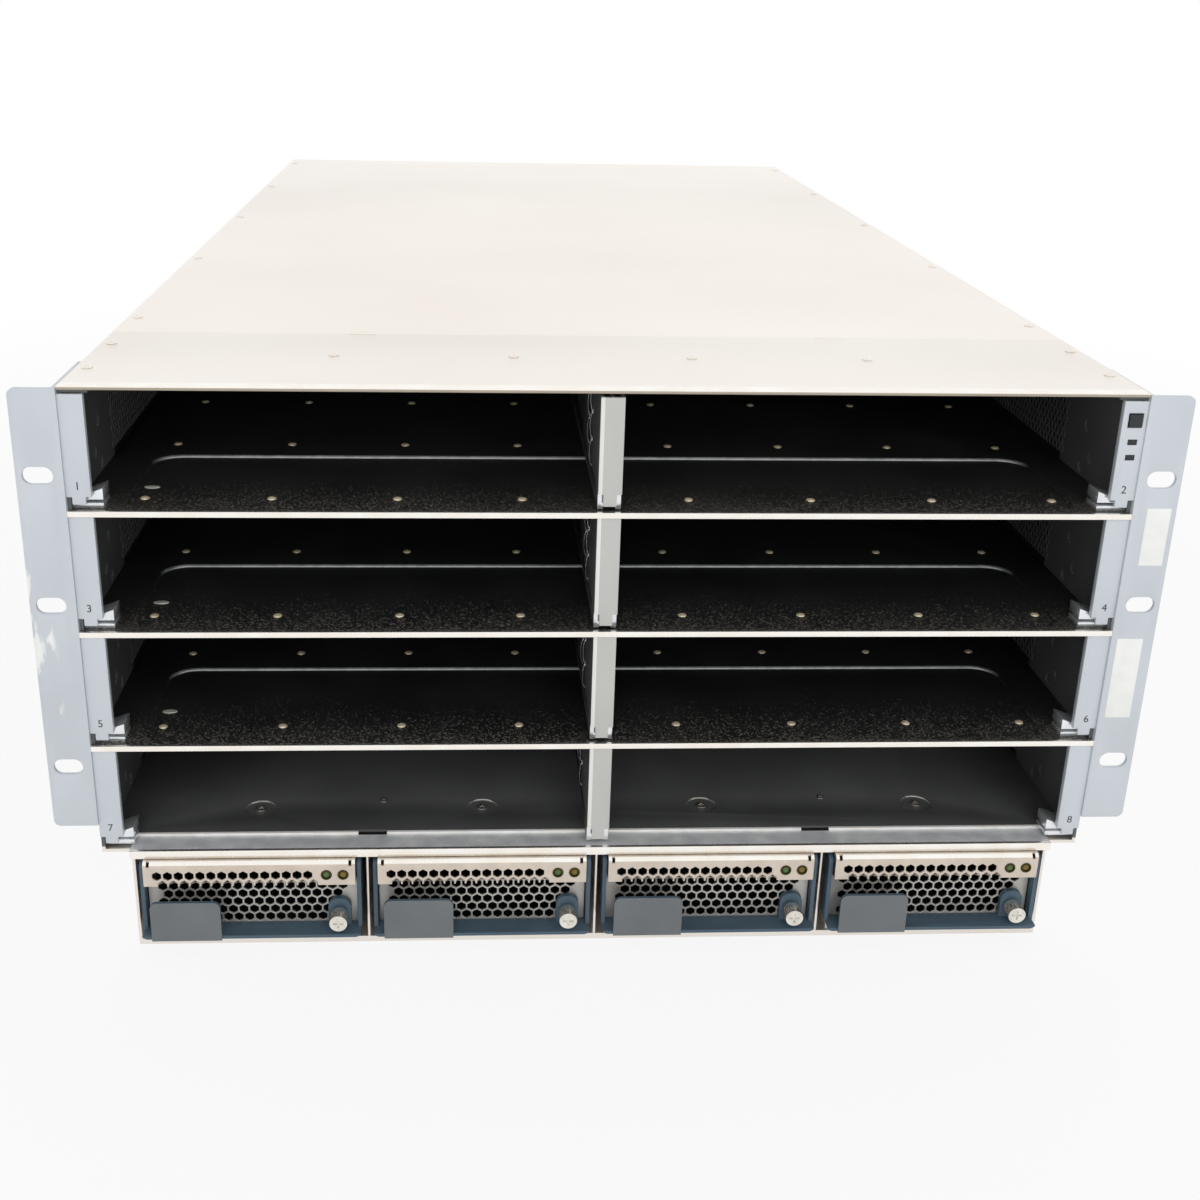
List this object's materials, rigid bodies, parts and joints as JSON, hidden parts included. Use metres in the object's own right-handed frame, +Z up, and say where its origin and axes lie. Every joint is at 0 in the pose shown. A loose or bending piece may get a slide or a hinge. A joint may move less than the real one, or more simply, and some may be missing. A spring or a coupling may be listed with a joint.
{
  "type": "blade server chassis",
  "caption": "Rack-mounted blade server chassis with open half-width blade slots, pull-out power supplies below, rear fan and connection modules, and slotted rack ears.",
  "frame": {"origin": "middle of the chassis depth and width, on the base pan's underside", "axes": "+X to the right seen from the front, +Y from front to rear, +Z up"},
  "size_m": [0.4826, 0.8202, 0.2665],
  "materials": {
    "plated_steel": "satin",
    "silver_paint": "satin",
    "black_paint": "satin",
    "catch_steel": "polished",
    "board": "matte",
    "inlet_plastic": "matte",
    "fastener_steel": "satin",
    "button_plastic": "matte",
    "supply_steel": "satin",
    "handle_plastic": "matte",
    "screw_nickel": "polished",
    "fan_plastic": "matte",
    "lever_plastic": "matte"
  },
  "bodies": {
    "chassis": {"base_pan": "plated_steel", "psu_bay_dividers": "plated_steel", "psu_bay_roof": "plated_steel", "side_panel_left": "plated_steel", "side_panel_right": "plated_steel", "top_front_panel": "plated_steel", "top_rear_cover": "plated_steel", "rack_ear_left": "silver_paint", "rack_ear_right": "silver_paint", "shelf_upper": "black_paint", "shelf_middle": "black_paint", "shelf_lower": "black_paint", "blade_floor": "black_paint", "slot_posts": "silver_paint", "ejector_catches": "catch_steel", "midplane": "board", "rear_bay_frame": "plated_steel", "power_inlets": "inlet_plastic", "fasteners": "fastener_steel"},
    "beacon_button": {"beacon_button": "button_plastic"},
    "psu_1": {"psu_1_case": "supply_steel", "psu_1_face": "supply_steel"},
    "psu_1_handle": {"psu_1_handle": "handle_plastic"},
    "psu_1_thumbscrew": {"psu_1_thumbscrew": "screw_nickel"},
    "psu_2": {"psu_2_case": "supply_steel", "psu_2_face": "supply_steel"},
    "psu_2_handle": {"psu_2_handle": "handle_plastic"},
    "psu_2_thumbscrew": {"psu_2_thumbscrew": "screw_nickel"},
    "psu_3": {"psu_3_case": "supply_steel", "psu_3_face": "supply_steel"},
    "psu_3_handle": {"psu_3_handle": "handle_plastic"},
    "psu_3_thumbscrew": {"psu_3_thumbscrew": "screw_nickel"},
    "psu_4": {"psu_4_case": "supply_steel", "psu_4_face": "supply_steel"},
    "psu_4_handle": {"psu_4_handle": "handle_plastic"},
    "psu_4_thumbscrew": {"psu_4_thumbscrew": "screw_nickel"},
    "slot_divider_1": {"slot_divider_1": "silver_paint"},
    "slot_divider_2": {"slot_divider_2": "silver_paint"},
    "slot_divider_3": {"slot_divider_3": "silver_paint"},
    "slot_divider_4": {"slot_divider_4": "silver_paint"},
    "fan_1": {"fan_1_module": "fan_plastic"},
    "fan_1_impeller": {"fan_1_impeller": "fan_plastic"},
    "fan_2": {"fan_2_module": "fan_plastic"},
    "fan_2_impeller": {"fan_2_impeller": "fan_plastic"},
    "fan_3": {"fan_3_module": "fan_plastic"},
    "fan_3_impeller": {"fan_3_impeller": "fan_plastic"},
    "fan_4": {"fan_4_module": "fan_plastic"},
    "fan_4_impeller": {"fan_4_impeller": "fan_plastic"},
    "fan_5": {"fan_5_module": "fan_plastic"},
    "fan_5_impeller": {"fan_5_impeller": "fan_plastic"},
    "fan_6": {"fan_6_module": "fan_plastic"},
    "fan_6_impeller": {"fan_6_impeller": "fan_plastic"},
    "fan_7": {"fan_7_module": "fan_plastic"},
    "fan_7_impeller": {"fan_7_impeller": "fan_plastic"},
    "fan_8": {"fan_8_module": "fan_plastic"},
    "fan_8_impeller": {"fan_8_impeller": "fan_plastic"},
    "io_module_1": {"io_module_1": "plated_steel"},
    "io_lever_1": {"io_lever_1": "lever_plastic"},
    "io_module_2": {"io_module_2": "plated_steel"},
    "io_lever_2": {"io_lever_2": "lever_plastic"}
  },
  "joints": [
    {"name": "beacon_button_press", "type": "slide", "parent": "chassis", "child": "beacon_button", "axis": [0, 1, 0], "range_m": [0, 0.0012], "stiffness_N_per_m": 400},
    {"name": "psu_1_slide", "type": "slide", "parent": "chassis", "child": "psu_1", "axis": [0, -1, 0], "range_m": [0, 0.5]},
    {"name": "psu_1_handle_swing", "type": "hinge", "parent": "psu_1", "child": "psu_1_handle", "pos_m": [-0.15682, -0.4024, 0.042], "axis": [-1, 0, 0], "range_deg": [0, 85]},
    {"name": "psu_1_screw_turn", "type": "hinge", "parent": "psu_1_handle", "child": "psu_1_thumbscrew", "pos_m": [-0.11753, -0.4064, 0.0176], "axis": [0, -1, 0], "range_deg": [0, 1440]},
    {"name": "psu_2_slide", "type": "slide", "parent": "chassis", "child": "psu_2", "axis": [0, -1, 0], "range_m": [0, 0.5]},
    {"name": "psu_2_handle_swing", "type": "hinge", "parent": "psu_2", "child": "psu_2_handle", "pos_m": [-0.05228, -0.4024, 0.042], "axis": [-1, 0, 0], "range_deg": [0, 85]},
    {"name": "psu_2_screw_turn", "type": "hinge", "parent": "psu_2_handle", "child": "psu_2_thumbscrew", "pos_m": [-0.01298, -0.4064, 0.0176], "axis": [0, -1, 0], "range_deg": [0, 1440]},
    {"name": "psu_3_slide", "type": "slide", "parent": "chassis", "child": "psu_3", "axis": [0, -1, 0], "range_m": [0, 0.5]},
    {"name": "psu_3_handle_swing", "type": "hinge", "parent": "psu_3", "child": "psu_3_handle", "pos_m": [0.05228, -0.4024, 0.042], "axis": [-1, 0, 0], "range_deg": [0, 85]},
    {"name": "psu_3_screw_turn", "type": "hinge", "parent": "psu_3_handle", "child": "psu_3_thumbscrew", "pos_m": [0.09158, -0.4064, 0.0176], "axis": [0, -1, 0], "range_deg": [0, 1440]},
    {"name": "psu_4_slide", "type": "slide", "parent": "chassis", "child": "psu_4", "axis": [0, -1, 0], "range_m": [0, 0.5]},
    {"name": "psu_4_handle_swing", "type": "hinge", "parent": "psu_4", "child": "psu_4_handle", "pos_m": [0.15682, -0.4024, 0.042], "axis": [-1, 0, 0], "range_deg": [0, 85]},
    {"name": "psu_4_screw_turn", "type": "hinge", "parent": "psu_4_handle", "child": "psu_4_thumbscrew", "pos_m": [0.19612, -0.4064, 0.0176], "axis": [0, -1, 0], "range_deg": [0, 1440]},
    {"name": "slot_divider_1_slide", "type": "slide", "parent": "chassis", "child": "slot_divider_1", "axis": [0, -1, 0], "range_m": [0, 0.55]},
    {"name": "slot_divider_2_slide", "type": "slide", "parent": "chassis", "child": "slot_divider_2", "axis": [0, -1, 0], "range_m": [0, 0.55]},
    {"name": "slot_divider_3_slide", "type": "slide", "parent": "chassis", "child": "slot_divider_3", "axis": [0, -1, 0], "range_m": [0, 0.55]},
    {"name": "slot_divider_4_slide", "type": "slide", "parent": "chassis", "child": "slot_divider_4", "axis": [0, -1, 0], "range_m": [0, 0.55]},
    {"name": "fan_1_slide", "type": "slide", "parent": "chassis", "child": "fan_1", "axis": [0, 1, 0], "range_m": [0, 0.1]},
    {"name": "fan_1_spin", "type": "hinge", "parent": "fan_1", "child": "fan_1_impeller", "pos_m": [-0.09374, 0.3134, 0.10545], "axis": [0, 1, 0], "continuous": true},
    {"name": "fan_2_slide", "type": "slide", "parent": "chassis", "child": "fan_2", "axis": [0, 1, 0], "range_m": [0, 0.1]},
    {"name": "fan_2_spin", "type": "hinge", "parent": "fan_2", "child": "fan_2_impeller", "pos_m": [-0.09374, 0.3134, 0.21075], "axis": [0, 1, 0], "continuous": true},
    {"name": "fan_3_slide", "type": "slide", "parent": "chassis", "child": "fan_3", "axis": [0, 1, 0], "range_m": [0, 0.1]},
    {"name": "fan_3_spin", "type": "hinge", "parent": "fan_3", "child": "fan_3_impeller", "pos_m": [-0.17881, 0.3134, 0.10545], "axis": [0, 1, 0], "continuous": true},
    {"name": "fan_4_slide", "type": "slide", "parent": "chassis", "child": "fan_4", "axis": [0, 1, 0], "range_m": [0, 0.1]},
    {"name": "fan_4_spin", "type": "hinge", "parent": "fan_4", "child": "fan_4_impeller", "pos_m": [-0.17881, 0.3134, 0.21075], "axis": [0, 1, 0], "continuous": true},
    {"name": "fan_5_slide", "type": "slide", "parent": "chassis", "child": "fan_5", "axis": [0, 1, 0], "range_m": [0, 0.1]},
    {"name": "fan_5_spin", "type": "hinge", "parent": "fan_5", "child": "fan_5_impeller", "pos_m": [0.09374, 0.3134, 0.10545], "axis": [0, 1, 0], "continuous": true},
    {"name": "fan_6_slide", "type": "slide", "parent": "chassis", "child": "fan_6", "axis": [0, 1, 0], "range_m": [0, 0.1]},
    {"name": "fan_6_spin", "type": "hinge", "parent": "fan_6", "child": "fan_6_impeller", "pos_m": [0.09374, 0.3134, 0.21075], "axis": [0, 1, 0], "continuous": true},
    {"name": "fan_7_slide", "type": "slide", "parent": "chassis", "child": "fan_7", "axis": [0, 1, 0], "range_m": [0, 0.1]},
    {"name": "fan_7_spin", "type": "hinge", "parent": "fan_7", "child": "fan_7_impeller", "pos_m": [0.17881, 0.3134, 0.10545], "axis": [0, 1, 0], "continuous": true},
    {"name": "fan_8_slide", "type": "slide", "parent": "chassis", "child": "fan_8", "axis": [0, 1, 0], "range_m": [0, 0.1]},
    {"name": "fan_8_spin", "type": "hinge", "parent": "fan_8", "child": "fan_8_impeller", "pos_m": [0.17881, 0.3134, 0.21075], "axis": [0, 1, 0], "continuous": true},
    {"name": "io_module_1_slide", "type": "slide", "parent": "chassis", "child": "io_module_1", "axis": [0, 1, 0], "range_m": [0, 0.15]},
    {"name": "io_lever_1_swing", "type": "hinge", "parent": "io_module_1", "child": "io_lever_1", "pos_m": [-0.0256, 0.3979, 0.0677], "axis": [-1, 0, 0], "range_deg": [0, 75]},
    {"name": "io_module_2_slide", "type": "slide", "parent": "chassis", "child": "io_module_2", "axis": [0, 1, 0], "range_m": [0, 0.15]},
    {"name": "io_lever_2_swing", "type": "hinge", "parent": "io_module_2", "child": "io_lever_2", "pos_m": [0.0256, 0.3979, 0.0677], "axis": [-1, 0, 0], "range_deg": [0, 75]}
  ]
}
